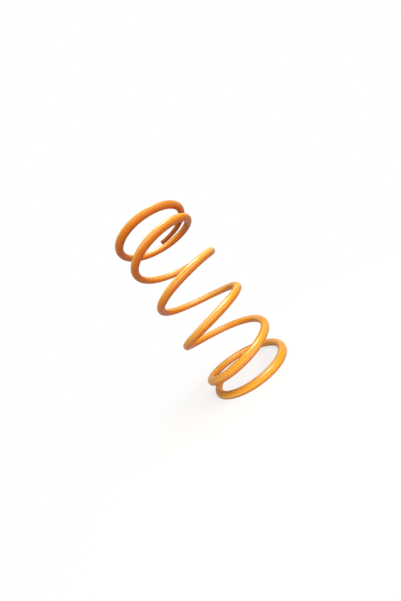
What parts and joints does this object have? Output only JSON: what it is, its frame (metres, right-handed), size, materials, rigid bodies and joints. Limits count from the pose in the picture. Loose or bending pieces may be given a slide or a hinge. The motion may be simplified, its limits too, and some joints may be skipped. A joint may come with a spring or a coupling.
{
  "type": "compression spring",
  "caption": "Round-wire helical compression spring with closed and ground ends, painted orange, that pushes the sliding half of a belt pulley shut.",
  "frame": {"origin": "middle of the lower ground face, on the coil axis", "axes": "+Z along the coil axis, from the lower ground face to the upper one; +X through both wire tips"},
  "size_m": [0.055, 0.055, 0.114],
  "materials": {
    "orange_paint": "gloss orange enamel on steel wire"
  },
  "bodies": {
    "root": {"coil_spring": "orange_paint"}
  },
  "joints": []
}
